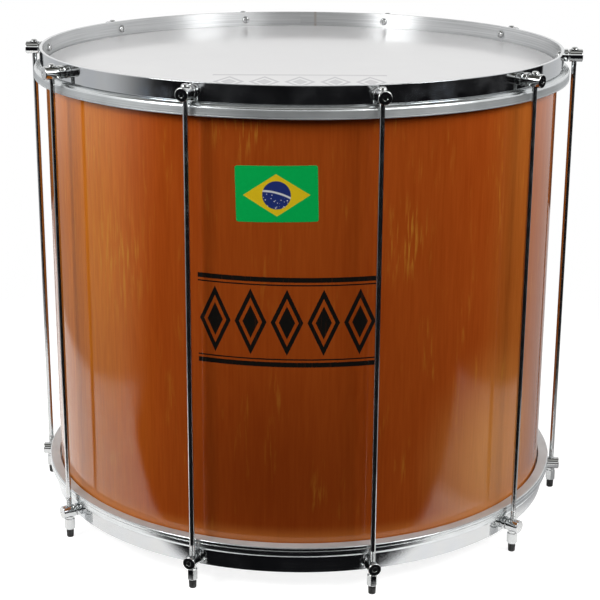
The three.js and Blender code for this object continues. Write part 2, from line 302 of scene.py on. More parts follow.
def lacquered_plywood():
    """Amber gloss lacquer over a sliced veneer with its grain upright: a warm orange ground,
    fine pale fibres and a few broader flames under a clear, almost mirror-smooth coat."""
    material, tree, surface = finish("lacquered_plywood_amber_gloss", Roughness=0.5, Specular_IOR_Level=0.0,
                                     Coat_Weight=1.0, Coat_Roughness=0.08, Coat_IOR=1.52)
    place = add(tree, "TexCoord", out="Object")
    wrap = add(tree, "UVMap", uv_map="mm")
    arc, up = add(tree, "SeparateXYZ", wrap).node.outputs[:2]
    # Fibres are 0.3 mm wide on the real veneer and are drawn 1.1 mm wide, so that they show
    fibre = streaks(tree, place, width=1.1, length=20)
    tone = layered(tree, (0.40, fibre), (0.22, streaks(tree, place, width=2.4, length=60)),
                   (0.38, streaks(tree, place, width=30, length=110)))
    tone = add(tree, "MapRange", tone, From_Min=0.25, From_Max=0.75)

    def veneer(dark, light):
        """The grain's tone between a dark and a light shade."""
        return add(tree, "Mix", tone, linear(dark), linear(light), data_type="RGBA")

    # 1 on the front and both sides, 0 behind: it keeps the painted sheen below off the drum's back
    reach = add(tree, "Math", arc, operation="ABSOLUTE")
    front = add(tree, "MapRange", reach, From_Min=780.0, From_Max=560.0, interpolation_type="SMOOTHSTEP")

    def tone_and_sheen_share(first, last, most=1.0):
        """0 up to one arc and the most past another, and nothing behind the drum."""
        share = add(tree, "MapRange", arc, From_Min=first, From_Max=last, To_Max=most,
                    interpolation_type="SMOOTHSTEP")
        return add(tree, "Math", share, front, operation="MULTIPLY")

    # Round to the left the veneer gets lighter, then golden: partly its own paler tone, partly a painted sheen of the
    # lamps on that side. Round to the right it is a little browner and paler, partly a painted sheen, with a painted
    # golden highlight low down; it turns back to reddish brown behind, where no sheen is painted
    colour = veneer("#A4420F", "#C05A1D")
    for share, dark, light in ((tone_and_sheen_share(-90.0, -190.0), "#B24811", "#D06220"),
                               (tone_and_sheen_share(-140.0, -250.0), "#C1641A", "#E5872B"),
                               (tone_and_sheen_share(190.0, 260.0, 0.45), "#BE6C24", "#D9893A"),
                               (gathered(tree, wrap, PAINTED_SHEEN_LOW_RIGHT), "#E08C42", "#F4A052")):
        colour = add(tree, "Mix", share, colour, veneer(dark, light), data_type="RGBA")
    # Low on the front the veneer is painted darker: painted shade
    colour = add(tree, "Mix", gathered(tree, wrap, PAINTED_SHADE_LOW_FRONT), colour, linear("#E0D8D6"), data_type="RGBA",
                 blend_type="MULTIPLY")
    # Golden flecks: short fibres that catch the light, gathered in soft patches
    flame = streaks(tree, place, width=8, length=34, detail=3.0)
    flecked = add(tree, "MapRange", flame, From_Min=0.55, From_Max=0.80, To_Max=0.8)
    flecked = add(tree, "Math", flecked, gathered(tree, wrap, FLECKED), operation="MAXIMUM")
    fleck = streaks(tree, place, width=1.5, length=16, detail=3.0)
    fleck = add(tree, "MapRange", fleck, From_Min=0.50, From_Max=0.68, To_Max=0.6)
    fleck = add(tree, "Math", flecked, fleck, operation="MULTIPLY")
    colour = add(tree, "Mix", fleck, colour, linear("#DD9A35"), data_type="RGBA")
    # Along the lower edge, over the last 20 mm above the channel, the veneer is painted paler: painted light bounced
    # up from the channel, not a sanded finish
    sanded = add(tree, "MapRange", up, From_Min=72.0, From_Max=52.0, To_Max=0.55, interpolation_type="SMOOTHSTEP")
    colour = add(tree, "Mix", sanded, colour, linear("#DE8A42"), data_type="RGBA")
    # The dark band printed on the front, with the grain showing faintly through the ink
    spot = add(tree, "Mapping", wrap, vector_type="TEXTURE", Location=(-14.6, 287.3, 0.0))
    cover = add(tree, "MapRange", fibre, From_Min=0.2, From_Max=0.4, To_Min=0.9, To_Max=1.0)
    ink = add(tree, "Math", lozenge_band(tree, spot), cover, operation="MULTIPLY")
    colour = add(tree, "Mix", ink, colour, linear("#1C1A17"), data_type="RGBA")
    # Lacquer flows out, but follows the veneer's waves: 0.02 mm deep and 14 mm wide
    wave = add(tree, "Bump", Height=streaks(tree, place, width=14, length=60), Distance=0.02 * MM, Strength=1.0)
    feed(surface, Base_Color=colour, Coat_Normal=wave)
    return material


def bare_plywood():
    """Sanded, unlacquered poplar plywood: pale and matt, with its plies as dark and light layers on the cut edge."""
    material, tree, surface = finish("bare_plywood_sanded", Roughness=0.68, IOR=1.45)
    place = add(tree, "TexCoord", out="Object")
    # Fibres are 0.3 mm wide on the real wood and are drawn 0.9 mm wide
    fibre = streaks(tree, place, width=0.9, length=22)
    tone = layered(tree, (0.6, fibre), (0.4, streaks(tree, place, width=26, length=120)))
    tone = add(tree, "MapRange", tone, From_Min=0.38, From_Max=0.62)
    colour = add(tree, "Mix", tone, linear("#B98C58"), linear("#D2AC78"), data_type="RGBA")
    # Plies alternate with the distance from the drum's axis
    ply_thickness = 1.4 * MM
    flat = add(tree, "VectorMath", place, (1.0, 1.0, 0.0), operation="MULTIPLY")
    depth = add(tree, "VectorMath", flat, operation="LENGTH")
    ply = add(tree, "Math", depth, math.pi / ply_thickness, operation="MULTIPLY")
    ply = add(tree, "Math", ply, operation="SINE")
    ply = add(tree, "MapRange", ply, From_Min=-0.4, From_Max=0.4, To_Max=0.3)
    colour = add(tree, "Mix", ply, colour, linear("#9A6C3C"), data_type="RGBA")
    nap = add(tree, "Bump", Height=fibre, Distance=0.05 * MM)
    feed(surface, Base_Color=colour, Normal=nap)
    return material


def polyester_film():
    """Milky polyester drumhead film, drawn and glossy: cool white, mirroring the hoop's wall at a low angle,
    with faint cloudiness and a band printed in pale grey near the front."""
    material, tree, surface = finish("polyester_film_milky", Roughness=0.07, IOR=1.6)
    place = add(tree, "TexCoord", out="Object")
    cloud = add(tree, "TexNoise", place, Scale=SPOTS / 45, Detail=3.0)
    colour = add(tree, "Mix", cloud, linear("#D3D2D3"), linear("#DAD9D9"), data_type="RGBA")
    # Only the upper film is printed
    spot = add(tree, "Mapping", place, vector_type="TEXTURE", Location=(-2.6 * MM, -160.0 * MM, 0.0),
               Scale=(MM, MM, MM))
    level = add(tree, "SeparateXYZ", spot, out="Z")
    upper = between(tree, level, 300.0, 600.0)
    ink = add(tree, "Math", lozenge_band(tree, spot), 0.6, operation="MULTIPLY")
    ink = add(tree, "Math", ink, upper, operation="MULTIPLY")
    colour = add(tree, "Mix", ink, colour, linear("#8E8E90"), data_type="RGBA")
    gloss = add(tree, "MapRange", cloud, To_Min=0.10, To_Max=0.15)
    # The film's own slight waves, 0.02 mm high
    wave = add(tree, "Bump", Height=cloud, Distance=0.02 * MM)
    feed(surface, Base_Color=colour, Roughness=gloss, Normal=wave)
    return material


def aluminium_channel(end):
    """Extruded aluminium channel, satin as drawn: soft broad highlights and fine lines that run round the hoop. The
    upper one is rubbed bright where its counterhoop presses; the lower one carries dust on its upward face."""
    material, tree, surface = finish(end + "_aluminium_extruded", Metallic=1.0, Roughness=0.4)
    high = around(end + "_flesh_hoop")[3]
    wrap = add(tree, "UVMap", uv_map="mm")
    up = add(tree, "SeparateXYZ", wrap, out="Y")
    # Die lines 0.1 mm apart on the real channel are drawn 0.5 mm apart and 90 mm long
    drawn = add(tree, "Mapping", wrap, Scale=(0.5 / 90, 0.5 / 0.5, 1.0))
    line = add(tree, "TexNoise", drawn, Scale=1.0, Detail=3.0)
    cloud = add(tree, "TexNoise", add(tree, "TexCoord", out="Object"), Scale=SPOTS / 14, Detail=4.0)
    tone = add(tree, "MapRange", layered(tree, (0.6, line), (0.4, cloud)), From_Min=0.35, From_Max=0.65)
    colour = add(tree, "Mix", tone, linear("#BEC2C3"), linear("#D8DBDC"), data_type="RGBA")
    if end == "batter":
        rubbed = add(tree, "MapRange", up, From_Min=high - 5.0, From_Max=high - 3.4)
        dull = add(tree, "MapRange", rubbed, To_Min=0.50, To_Max=0.24)
    else:
        dusty = add(tree, "MapRange", up, From_Min=high - 0.35, From_Max=high - 0.05)
        dull = add(tree, "MapRange", dusty, To_Min=0.22, To_Max=0.55)
        feed(surface, Metallic=add(tree, "MapRange", dusty, To_Min=1.0, To_Max=0.45))
    uneven = add(tree, "MapRange", cloud, To_Min=-0.06, To_Max=0.06)
    gloss = add(tree, "Math", dull, uneven, operation="ADD")
    scored = add(tree, "Bump", Height=line, Distance=0.007 * MM)
    feed(surface, Base_Color=colour, Roughness=gloss, Normal=scored)
    return material


def welded(tree, haze, colour):
    """A hoop's colour with its butt weld, a brownish line across the band."""
    half_wide, edge = 1.0, 1.4
    arc = add(tree, "SeparateXYZ", add(tree, "UVMap", uv_map="mm"), out="X")
    burnt = between(tree, arc, WELD - half_wide, WELD + half_wide, edge)
    patchy = add(tree, "MapRange", haze, From_Min=0.3, From_Max=0.6, To_Min=0.2, To_Max=0.7)
    burnt = add(tree, "Math", burnt, patchy, operation="MULTIPLY")
    return add(tree, "Mix", burnt, colour, linear("#A08468"), data_type="RGBA")


def chromed_steel(name, least, most, rolled=False):
    """Bright chrome plate on steel: a dark mirror, its roughness from least to most. A rolled hoop has slow waves, so
    that the edges of its reflections wander, faint smudges of old grease, and its butt weld."""
    wave_width, wave_depth, wave_detail, haze_width = (30, 0.14, 0.0, 14) if rolled else (16, 0.06, 2.0, 6)
    material, tree, surface = finish(name, Metallic=1.0, Roughness=0.05)
    place = add(tree, "TexCoord", out="Object")
    wave = add(tree, "TexNoise", place, Scale=SPOTS / wave_width, Detail=wave_detail)
    haze = add(tree, "TexNoise", place, Scale=SPOTS / haze_width, Detail=4.0)
    colour = add(tree, "Mix", haze, linear("#C2C4C4"), linear("#CDCECE"), data_type="RGBA")
    if rolled:
        touched = gathered(tree, add(tree, "UVMap", uv_map="mm"), SMUDGED)
        grease = add(tree, "Math", add(tree, "MapRange", haze, From_Min=0.36, From_Max=0.64),
                     add(tree, "MapRange", touched, To_Min=0.12), operation="MULTIPLY")
        colour = add(tree, "Mix", grease, colour, linear("#A4B4CA"), data_type="RGBA")
        colour = welded(tree, haze, colour)
        feed(surface, Metallic=add(tree, "MapRange", grease, To_Min=1.0, To_Max=0.84))
    gloss = add(tree, "MapRange", haze, From_Min=0.40, From_Max=0.75, To_Min=least, To_Max=most)
    uneven = add(tree, "Bump", Height=wave, Distance=wave_depth * MM)
    feed(surface, Base_Color=colour, Roughness=gloss, Normal=uneven)
    return material


def ground_steel():
    """The hoop's inner wall, plated over steel ground along its length: fine level lines that draw each reflection
    out upright, so that a lamp becomes a pale upright bar."""
    material, tree, surface = finish("chrome_plate_over_ground_steel", Metallic=1.0, Roughness=0.36, Anisotropic=0.9,
                                     Anisotropic_Rotation=0.25)
    # Grinding lines 0.1 mm apart are drawn 0.7 mm apart and 60 mm long
    drawn = add(tree, "Mapping", add(tree, "UVMap", uv_map="mm"), Scale=(0.5 / 60, 0.5 / 0.7, 1.0))
    line = add(tree, "TexNoise", drawn, Scale=1.0, Detail=3.0)
    tone = add(tree, "MapRange", line, From_Min=0.3, From_Max=0.7)
    colour = add(tree, "Mix", tone, linear("#BFC1C2"), linear("#DEDFE0"), data_type="RGBA")
    gloss = add(tree, "MapRange", line, From_Min=0.3, From_Max=0.7, To_Min=0.32, To_Max=0.42)
    along = add(tree, "Tangent", direction_type="UV_MAP", uv_map="mm")
    feed(surface, Base_Color=welded(tree, line, colour), Roughness=gloss, Tangent=along)
    return material


def moulded_rubber():
    """Moulded black rubber, matt, a little dusty: dark grey with a fine grain."""
    material, tree, surface = finish("rubber_moulded_matt", Roughness=0.62, IOR=1.5)
    dust = add(tree, "TexNoise", add(tree, "TexCoord", out="Object"), Scale=SPOTS / 1.4, Detail=4.0)
    colour = add(tree, "Mix", dust, linear("#232323"), linear("#3C3B3A"), data_type="RGBA")
    grain = add(tree, "Bump", Height=dust, Distance=0.05 * MM)
    feed(surface, Base_Color=colour, Normal=grain)
    return material


def flag_vinyl():
    """Printed vinyl sticker with a gloss laminate, a national flag: green field, yellow rhombus, blue disc with a
    bare white band and white stars. Its map is in mm from the sticker's centre."""
    rhombus_half_wide, rhombus_half_high, disc_radius, lowered = 32.4, 20.7, 13.8, 1.1
    # The band is an arc of a circle, 1.9 mm wide; the stars lie below it, each in its own cell of 2.4 mm
    arc_centre, band_inner, band_outer, stars_inner, stars_outer = (-14.28, -52.8, 0.0), 56.15, 58.05, 40.0, 54.6
    star_cell, star_share, star_edge, rhombus_edge, ink_spot = 2.4, 0.24, 0.03, 0.012, 1.5
    material, tree, surface = finish("vinyl_printed_flag", Roughness=0.28, IOR=1.5)
    centre = add(tree, "Mapping", add(tree, "UVMap", uv_map="mm"), Location=(0.0, lowered, 0.0))
    x, y = add(tree, "SeparateXYZ", centre).node.outputs[:2]
    wide = add(tree, "Math", add(tree, "Math", x, operation="ABSOLUTE"), rhombus_half_wide, operation="DIVIDE")
    high = add(tree, "Math", add(tree, "Math", y, operation="ABSOLUTE"), rhombus_half_high, operation="DIVIDE")
    rhombus = between(tree, add(tree, "Math", wide, high, operation="ADD"), -1.0, 1.0, rhombus_edge)
    disc = between(tree, add(tree, "VectorMath", centre, operation="LENGTH"), -1.0, disc_radius)
    far = add(tree, "VectorMath", centre, arc_centre, operation="DISTANCE")
    band = between(tree, far, band_inner, band_outer)
    star = add(tree, "TexVoronoi", centre, Scale=1 / star_cell, Randomness=0.9)
    star = add(tree, "Math", between(tree, star, -1.0, star_share, star_edge),
               between(tree, far, stars_inner, stars_outer), operation="MULTIPLY")
    white = add(tree, "Math", add(tree, "Math", band, star, operation="MAXIMUM"), disc, operation="MULTIPLY")
    ink = add(tree, "TexNoise", centre, Scale=0.5 / ink_spot, Detail=3.0)
    colour = add(tree, "Mix", ink, linear("#00C258"), linear("#06CB62"), data_type="RGBA")
    for share, code in ((rhombus, "#FFDA20"), (disc, "#283980"), (white, "#F0F1EE")):
        colour = add(tree, "Mix", share, colour, linear(code), data_type="RGBA")
    printed = add(tree, "Bump", Height=ink, Distance=0.02 * MM)
    feed(surface, Base_Color=colour, Normal=printed)
    return material


wood = lacquered_plywood()
raw_wood = bare_plywood()
head_film = polyester_film()
aluminium = {end: aluminium_channel(end) for end in ("batter", "resonant")}
hoop_chrome = chromed_steel("chrome_plate_rolled_hoop", 0.03, 0.20, rolled=True)
inner_chrome = ground_steel()
chrome = chromed_steel("chrome_plate_turned_parts", 0.03, 0.10)
rod_chrome = chromed_steel("chrome_plate_drawn_rods", 0.15, 0.25)
rubber = moulded_rubber()
vinyl = flag_vinyl()


# ---------------- shell and rings

def faced_inside(mesh, material, limit):
    """Gives a second finish to the faces whose middles are nearer to the drum's axis than a limit in mm."""
    mesh.materials.append(material)
    centre = np.zeros(len(mesh.polygons) * 3)
    mesh.polygons.foreach_get("center", centre)
    x, y, _ = centre.reshape(-1, 3).T / MM
    mesh.polygons.foreach_set("material_index", (np.hypot(x, y) < limit).astype(np.int32))


def shell():
    """The shell's wall: upright faces, a small outer bevel, a narrow flat crest and a longer inner bevel at both ends.
    The lacquer runs over the outer bevel."""
    bevel, crest, slope, lacquered = 1.5, 3.0, 4.0, 1.0
    outer_edge, crest_edge, inner_edge = 0.5, 0.4, 0.8
    inner, outer, low, high = around("shell")
    outline = rounded([
        (outer, low + bevel, outer_edge), (outer, high - bevel, outer_edge),
        (outer - bevel, high, crest_edge), (outer - crest, high, crest_edge),
        (inner, high - slope, inner_edge), (inner, low + slope, inner_edge),
        (outer - crest, low, crest_edge), (outer - bevel, low, crest_edge)])
    mesh = turned("shell", outline, columns=360)
    fitted("lacquered_shell", mesh, wood, "lacquered_plywood", "drum", "shell")
    faced_inside(mesh, raw_wood, outer - lacquered)


def reinforcing_ring(end):
    """A plain wooden hoop with eased inner edges."""
    crisp, eased = 0.3, 1.5
    inner, outer, low, high = around(end + "_reinforcing_ring")
    outline = rounded([(outer, low, crisp), (outer, high, crisp), (inner, high, eased), (inner, low, eased)])
    fitted(end + "_wooden_ring", turned("ring", outline, columns=240), raw_wood, "bare_plywood", "drum",
           end + "_reinforcing_ring")


def drumhead(end, level, up):
    """A film: flat disc, round shoulder over the shell's edge, and a short collar down to its hem."""
    thick, collar, shoulder, hem = 0.6, 3.0, 1.6, 0.2
    outer = around(end + "_film")[1]
    outline = rounded(laid([
        (0, 0, 0), (outer, 0, shoulder), (outer, -collar, hem), (outer - thick, -collar, hem),
        (outer - thick, -thick, shoulder - thick), (0, -thick, 0)], level, up), steps=8)
    fitted(end + "_head_film", turned("film", outline, columns=360), head_film, "drumhead_film", "drum",
           end + "_film")


def flesh_hoop(end, level, up):
    """An aluminium channel: rounded outer shoulder on the counterhoop's side and a line scored round its wall,
    `scored` mm from the eased edge on the far side, with slanting flanks."""
    crisp, corner, shoulder, flank, score_depth = 0.15, 0.4, 4.4, 0.3, 0.35
    scored, eased = (1.2, 0.6) if end == "batter" else (3.4, 1.6)
    inner, outer, low, high = around(end + "_flesh_hoop")
    deep = low - high
    outline = rounded(laid([
        (inner, 0, corner), (outer, 0, shoulder), (outer, deep + scored + 3 * flank, crisp),
        (outer - score_depth, deep + scored + 2 * flank, crisp), (outer - score_depth, deep + scored + flank, crisp),
        (outer, deep + scored, crisp), (outer, deep, eased), (inner, deep, corner)], level, up), steps=7)
    fitted(end + "_aluminium_channel", turned("channel", outline, columns=360), aluminium[end], "aluminium", "drum",
           end + "_flesh_hoop")


def counterhoop(end):
    """A flat steel band with rounded edges. Its true circles touch the CAD band's facets from outside and inside."""
    outer_sag, inner_sag, outer_edge, inner_edge, plated = 0.15, 0.05, 0.5, 0.7, 0.4
    inner, outer, low, high = around(end + "_counterhoop")
    outer, inner = outer - outer_sag, inner - inner_sag
    outline = rounded([(outer, low, outer_edge), (outer, high, outer_edge), (inner, high, inner_edge),
                       (inner, low, inner_edge)], steps=8, support=0.25)
    mesh = turned("hoop", outline, columns=360)
    fitted(end + "_chrome_hoop", mesh, hoop_chrome, "chrome", "drum", end + "_counterhoop")
    faced_inside(mesh, inner_chrome, inner + plated)


shell()
for end in ("upper", "lower"):
    reinforcing_ring(end)
for end, up in (("batter", 1), ("resonant", -1)):
    drumhead(end, around(end + "_film")[3 if up > 0 else 2], up)
    flesh_hoop(end, around(end + "_flesh_hoop")[3 if up > 0 else 2], up)
    counterhoop(end)


# ---------------- sticker

def flag_sticker():
    """A rectangle with round corners as rings shrunk towards its centre: (s x, s y) for s from 0 to 1 on its face
    and back to 0 underneath, tilted and rolled onto the shell: (R sin(u / R), -R cos(u / R), v)."""
    half_wide, half_high, corner, rings = 39.95, 27.55, 2.4, 16
    aside, height, tilt = -25.1, 415.9, math.radians(1.4)
    face, under, rim, face_share, rim_share = 0.15, 0.02, [0.15, 0.12, 0.03, 0.02], 0.985, [0.999, 1, 1, 0.999]
    line = rounded([(-half_wide, -half_high, corner), (half_wide, -half_high, corner), (half_wide, half_high, corner),
                    (-half_wide, half_high, corner)], steps=8)
    line = np.concatenate([line, line[:1]])
    travel = np.concatenate([[0], np.cumsum(np.linalg.norm(np.diff(line, axis=0), axis=1))])
    even = np.linspace(0, travel[-1], 361)
    line = np.stack([np.interp(even, travel, line[:, k]) for k in (0, 1)], -1)
    share = np.concatenate([np.linspace(0, face_share, rings), rim_share, np.linspace(face_share, 0, rings)])
    proud = np.concatenate([np.full(rings, face), rim, np.full(rings, under)])
    flat = share[:, None, None] * line[None]
    u = flat[..., 0] * math.cos(tilt) - flat[..., 1] * math.sin(tilt) + aside
    v = flat[..., 0] * math.sin(tilt) + flat[..., 1] * math.cos(tilt) + height
    shell_radius = around("shell")[1]
    radius = shell_radius + proud[:, None]
    points = np.stack([radius * np.sin(u / shell_radius), -radius * np.cos(u / shell_radius), v], -1)
    mesh = closed_skin("sticker", points[:, :-1], flat)
    fitted("flag_sticker", mesh, vinyl, None, "drum")


flag_sticker()


# ---------------- lug stations

SCREW_TOP = 279.6  # mm from the drum's axis to the top of a post's screw


def cut_by(mesh, *tools):
    """A mesh with other meshes taken out of it."""
    body = placed("body", mesh)
    for tool in tools:
        step = body.modifiers.new("cut", "BOOLEAN")
        step.operation, step.solver, step.object = "DIFFERENCE", "EXACT", placed("cutter", tool)
    result = bpy.data.meshes.new_from_object(body.evaluated_get(bpy.context.evaluated_depsgraph_get()))
    for left in [body, *(modifier.object for modifier in body.modifiers)]:
        bpy.data.objects.remove(left)
    result.shade_smooth()
    result.set_sharp_from_angle(angle=math.radians(CREASE))
    return result


def bar(radius, low, high):
    """A plain round bar about the rod's line at the front, used to cut a hole."""
    mesh = turned("bar", rounded([(0, low, 0), (radius, low, 0), (radius, high, 0), (0, high, 0)]), columns=48)
    mesh.transform(Matrix.Translation((0, -ROD_CIRCLE * MM, 0)))
    return mesh


def slot_cutter():
    """A thin upright block over the screw's head: a rectangle's outline swept through the slot's depth."""
    half_wide, half_high, before, bottom = 0.55, 6.0, 270.0, SCREW_TOP + 1.3
    corner = np.array([[-half_wide, -half_high], [half_wide, -half_high], [half_wide, half_high],
                       [-half_wide, half_high]])
    share = np.array([0, 1, 1, 0.0])[:, None]
    depth = np.array([before, before, bottom, bottom])[:, None]
    points = np.stack(np.broadcast_arrays(share * corner[:, 0], -depth, share * corner[:, 1]), -1)
    return closed_skin("slot", points, np.zeros((4, 5, 2)))


def lug_post():
    """A post with its fixing screw at the front, its axis along -Y at level 0 and its seat for the rod's head upward:
    an outline of (radius, distance) turned about Z and laid down: (x, y, z) becomes (x, -z, y)."""
    screw, neck, flange, barrel, groove, dimple, dimple_floor = 4.5, 2.4, 6.3, 6.9, 4.8, 2.6, 2.45
    hoop_inside, hoop_outside, flange_top, groove_start, groove_end, nose = 282.85, 285.92, 287.6, 291.5, 293.3, 307.4
    dome, nose_edge, groove_edge, dimple_depth = 2.3, 0.95, 0.4, 0.2
    hole, seat, seat_level, past = 3.25, 4.8, 5.2, 9.0
    outline = rounded([
        (0, SCREW_TOP, 0), (screw, SCREW_TOP, dome), (screw, hoop_inside, 0.15), (neck, hoop_inside, 0.15),
        (neck, hoop_outside, 0.1), (flange, hoop_outside, 0.25), (barrel, flange_top, 0.5),
        (barrel, groove_start, groove_edge), (groove, groove_start, groove_edge), (groove, groove_end, groove_edge),
        (barrel, groove_end, groove_edge), (barrel, nose, nose_edge), (dimple, nose, 0.1),
        (dimple_floor, nose - dimple_depth, 0.1), (0, nose - dimple_depth, 0)], steps=7)
    mesh = turned("post", outline, columns=72)
    mesh.transform(Matrix.Rotation(math.pi / 2, 4, "X"))
    return cut_by(mesh, bar(hole, -past, past), bar(seat, seat_level, past), slot_cutter())


def tension_rod():
    """A rod about Z. Over its thread the radius is root + depth * (1 + cos(2 pi (h - t / 360 degrees))) / 2, one
    ridge a millimetre; the depth fades out into the plain shank, and a domed head ends it."""
    low, high = levels("tension_rod_1")
    shank, tip, ridge_top, ridge_depth, thread_end, fade_length = 2.75, 1.95, 0.2, 0.6, 48.0, 1.6
    joined, head_under, head_side, head_radius, dome_radius = 500.0, 517.1, 518.4, 4.0, 2.9
    columns, step = 40, 0.125
    angle = np.linspace(-np.pi, np.pi, columns + 1)
    height = np.arange(low, thread_end + step / 2, step)[:, None]
    ridge = 0.5 + 0.5 * np.cos(2 * np.pi * height - angle[None])
    fade = np.clip((thread_end - height) / fade_length, 0, 1)
    radius = shank + fade * (ridge_top - ridge_depth * (1 - ridge))
    radius = np.minimum(radius, tip + (height - low))
    head = rounded([(0, joined, 0), (shank, joined, 0), (shank, head_under, 0.1), (head_radius, head_under, 0.2),
                    (head_radius, head_side, 0.5), (dome_radius, high, 1.6), (0, high, 0)], steps=8)
    # Of the closed outline only the wall is kept, and then the pole
    head = head[((head[:, 0] > tip) | (head[:, 1] > head_under)) & (head[:, 0] > SAME_PLACE)]
    head = np.concatenate([head, [[0, high]]])
    head_rings = np.broadcast_to(head[:, :1], (len(head), columns + 1))
    radius = np.concatenate([np.zeros((1, columns + 1)), radius, head_rings])
    height = np.concatenate([[[low]], height, head[:, 1:]])
    points = np.stack(np.broadcast_arrays(radius * np.sin(angle), -radius * np.cos(angle), height), -1)
    flat = np.stack(np.broadcast_arrays(shank * angle[None], height), -1)
    return closed_skin("rod", points[:, :-1], flat, crease=60)


def tension_nut():
    """A hexagon with small rounded corners under a round collar, bored through. Each ring of points is the hexagon's
    outline scaled to min(outline, cone): the cone grows by 1.1 mm a millimetre from the chamfered lower face, and
    another shrinks by 1.6 mm a millimetre towards the collar."""
    low, high = levels("tension_nut_1")
    half_flats, corner_edge, bore, collar, collar_low = 5.0, 0.35, 3.2, 4.4, 21.7
    cone_foot, lower_slope, upper_slope = 4.55, 1.1, 1.6
    corner = half_flats / math.cos(math.pi / 6)
    outside = corner + 0.6  # anywhere past the corners
    place = np.pi / 6 * (1 + 2 * np.arange(6))
    line = np.stack([corner * np.sin(place), -corner * np.cos(place), np.full(6, corner_edge)], -1)
    line = rounded(line, steps=5, support=0.2)
    halfway = 0.5 * (line + np.roll(line, -1, 0))
    line = np.stack([line, halfway], 1).reshape(-1, 2)
    reach = np.linalg.norm(line, axis=1)
    unit = line / reach[:, None]
    # Rings of points lie closer together where a cone cuts the corners off
    level = np.concatenate([np.linspace(low, low + 1.6, 15), np.linspace(low + 1.8, collar_low - 0.8, 5),
                            np.linspace(collar_low - 0.7, collar_low, 8)])
    cone = np.minimum(cone_foot + lower_slope * (level - low), half_flats + upper_slope * (collar_low - level))
    hexagon = np.minimum(reach[None], cone[:, None])
    rest = rounded([(bore, low, 0.2), (outside, low, 0), (outside, collar_low, 0), (collar, collar_low, 0.15),
                    (collar, high, 0.4), (bore, high, 0.2)])
    rest = rest[rest[:, 0] < half_flats]
    start = int(np.argmin(np.abs(rest[:, 0] - collar) + np.abs(rest[:, 1] - collar_low)))
    rest = np.roll(rest, -start, 0)
    radius = np.concatenate([hexagon, np.broadcast_to(rest[:, :1], (len(rest), len(reach)))])
    height = np.concatenate([level, rest[:, 1]])
    heights = np.broadcast_to(height[:, None, None], radius.shape + (1,))
    points = np.concatenate([radius[..., None] * unit[None], heights], -1)
    return closed_skin("nut", points, np.zeros((len(height), len(reach) + 1, 2)), crease=25)


def rubber_foot():
    """A capped rubber tube, a little narrower at the floor, with a rounded sole edge."""
    high = levels("rubber_foot_1")[1]
    sole, mouth, bore, cap = 3.75, 4.1, 3.4, 2.0
    outline = rounded([(0, 0, 0), (sole, 0, 1.1), (mouth, high, 0.35), (bore, high, 0.2), (bore, cap, 0.3),
                       (0, cap, 0)])
    return turned("foot", outline, columns=48)


post, rod, nut, foot = lug_post(), tension_rod(), tension_nut(), rubber_foot()
on_circle = Matrix.Translation((0, -ROD_CIRCLE * MM, 0))
at_top = Matrix.Translation((0, 0, UPPER_POST * MM))
turned_over = Matrix.Translation((0, 0, LOWER_POST * MM)) @ Matrix.Rotation(math.pi, 4, "Y")
# Each is (piece, CAD node, mesh, place at the front, finish, slot, CAD body), the names without the lug's number
parts = [
    ("upper_lug_post", "upper_post", post, at_top, chrome, "chrome", "drum"),
    ("lower_lug_post", "lower_post", post, turned_over, chrome, "chrome", "drum"),
    ("threaded_rod", "tension_rod", rod, on_circle, rod_chrome, "chrome", "rod_{}"),
    ("hexagon_nut", "tension_nut", nut, on_circle, chrome, "chrome", "nut_{}"),
    ("foot_cap", "rubber_foot", foot, on_circle, rubber, "rubber", "nut_{}"),
]
for lug in range(LUGS):
    for name, node, master, place, material, slot, body in parts:
        mesh = master.copy()
        mesh.transform(station(lug) @ place)
        fitted(f"{name}_{lug + 1}", mesh, material, slot, body.format(lug + 1), f"{node}_{lug + 1}")


# ---------------- studio

def flat_sheet(name, corners, material):
    """A flat sheet over a polygon's corners in metres."""
    mesh = bpy.data.meshes.new(name)
    mesh.from_pydata(corners, [], [list(range(len(corners)))])
    mesh.materials.append(material)
    sheet = placed(name, mesh)
    return sheet


def bare_tree(name):
    """A new material without a surface: the material and its empty tree."""
    material = bpy.data.materials.new(name)
    material.use_nodes = True
    material.node_tree.nodes.clear()
    return material, material.node_tree


def seen_directly(tree):
    """1 for what the camera, mirrors and glass see, 0 for the light that scatters from surface to surface."""
    paths = add(tree, "LightPath").node.outputs
    seen = add(tree, "Math", paths["Is Camera Ray"], paths["Is Glossy Ray"], operation="MAXIMUM")
    return add(tree, "Math", seen, paths["Is Transmission Ray"], operation="MAXIMUM")


def pale_floor():
    """White paper that keeps the drum's soft shadow and melts into the white background round the drum."""
    melts_from, melts_to, edge, corners = 0.42, 0.9, 1.05, 96
    glow_seen, glow_mirrored = 0.84, 0.04
    material, tree = bare_tree("paper_white_seamless")
    seen = seen_directly(tree)
    glossy = add(tree, "LightPath", out="Is Glossy Ray")
    shade = add(tree, "Mix", seen, linear("#505050"), linear("#BCBCBB"), data_type="RGBA")
    strength = add(tree, "Math", seen, glow_seen, operation="MULTIPLY")
    strength = add(tree, "Math", glossy, glow_mirrored, strength, operation="MULTIPLY_ADD")
    paper = add(tree, "BsdfDiffuse", Color=shade)
    glow = add(tree, "Emission", Color=linear("#FFFFFF"), Strength=strength)
    away = add(tree, "VectorMath", add(tree, "TexCoord", out="Object"), operation="LENGTH")
    melt = add(tree, "MapRange", away, From_Min=melts_from, From_Max=melts_to, interpolation_type="SMOOTHSTEP")
    lit = add(tree, "AddShader", paper, glow)
    add(tree, "OutputMaterial", add(tree, "MixShader", melt, lit, add(tree, "BsdfTransparent")))
    angle = np.linspace(0, 2 * np.pi, corners, endpoint=False)
    ring = edge * np.stack([np.cos(angle), np.sin(angle), np.zeros(corners)], -1)
    flat_sheet("floor", ring.tolist(), material)


